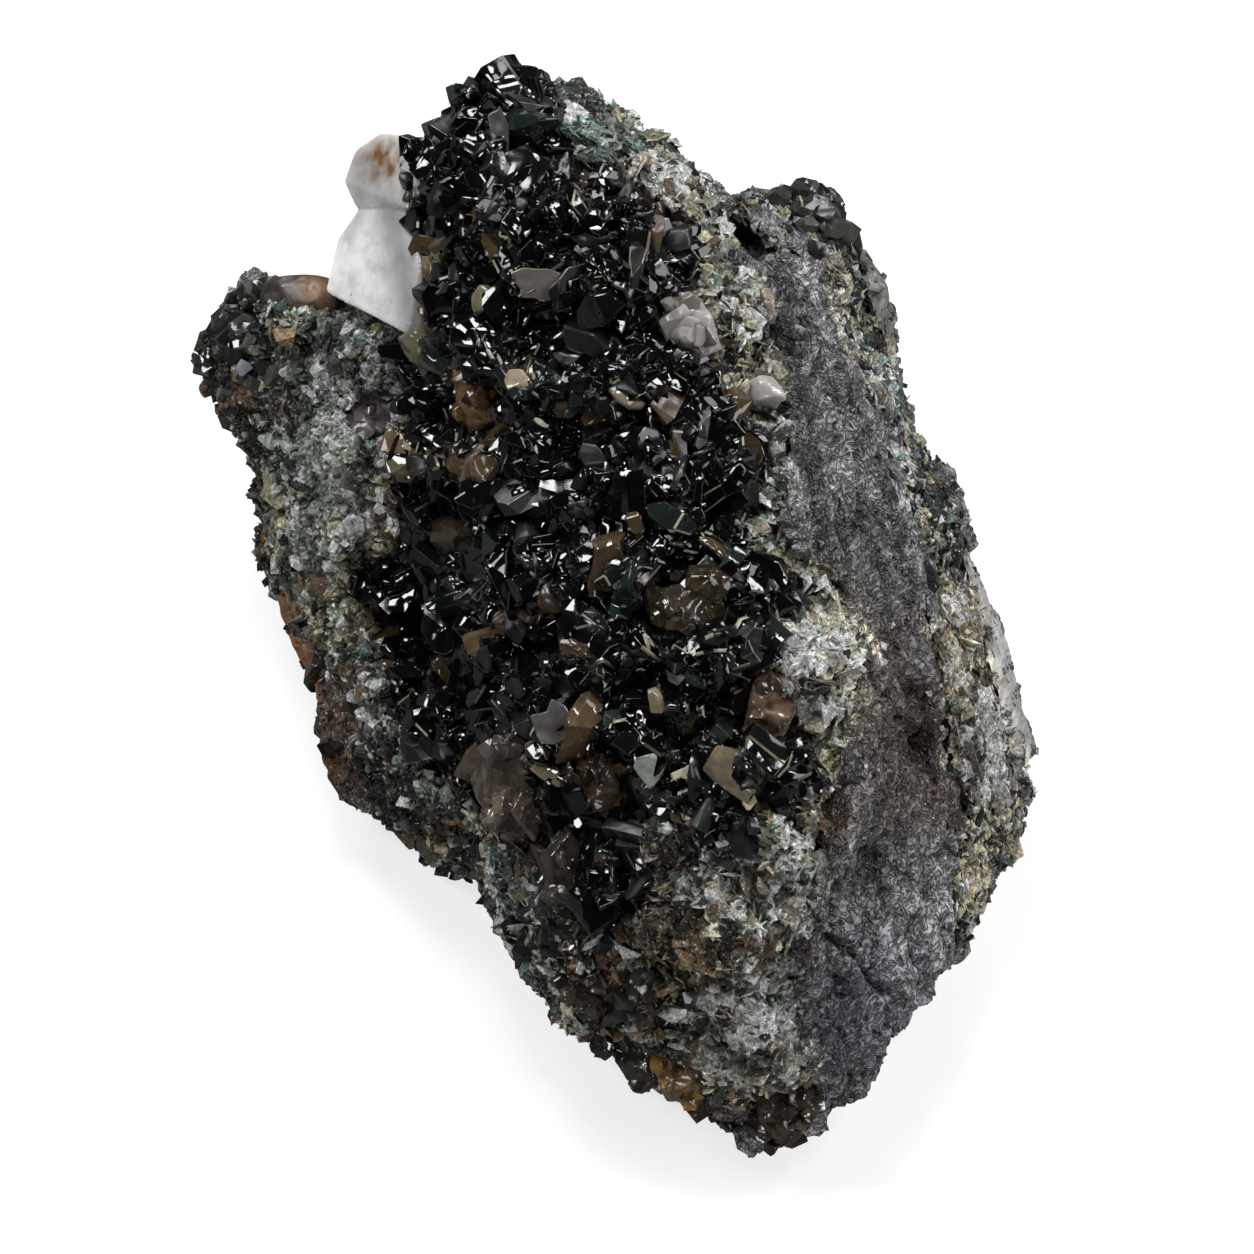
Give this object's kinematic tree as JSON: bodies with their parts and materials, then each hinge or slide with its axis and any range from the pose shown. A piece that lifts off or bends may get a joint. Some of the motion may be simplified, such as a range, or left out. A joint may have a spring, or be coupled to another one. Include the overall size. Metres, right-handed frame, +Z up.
{
  "type": "kulanite specimen",
  "caption": "Mineral specimen: glossy black kulanite crystals in a hollow of grey ironstone, rimmed by pale green crystal crusts, with brown siderite and white quartz.",
  "frame": {"origin": "middle of the specimen's box, on the surface it lies on", "axes": "+Z up, +Y along the specimen's length towards its high black end, +X towards the bare grey face"},
  "size_m": [0.0554, 0.0648, 0.0456],
  "materials": {
    "ironstone": "fine-grained, dull broken rock with rusty stains",
    "kulanite": "glassy black crystal faces",
    "green_crust": "sparkling crust of tiny grey-green and cream crystals",
    "quartz": "clear to milky crystal",
    "siderite": "resinous brown crystal"
  },
  "bodies": {
    "root": {"ironstone": "ironstone", "kulanite_druse": "kulanite", "crest_crust": "green_crust", "left_crust": "green_crust", "right_crust": "green_crust", "quartz_crystals": "quartz", "quartz_on_crest": "quartz", "quartz_grain": "quartz", "siderite_wedge": "siderite", "siderite_upper_druse": "siderite", "siderite_lower_left": "siderite", "siderite_lower_druse": "siderite", "siderite_on_crest": "siderite", "siderite_mid_druse": "siderite", "siderite_amber_foot": "siderite", "siderite_dark_foot": "siderite", "siderite_left_lobe": "siderite", "siderite_right_druse": "siderite", "siderite_nose": "siderite", "siderite_bottom": "siderite"}
  },
  "joints": []
}
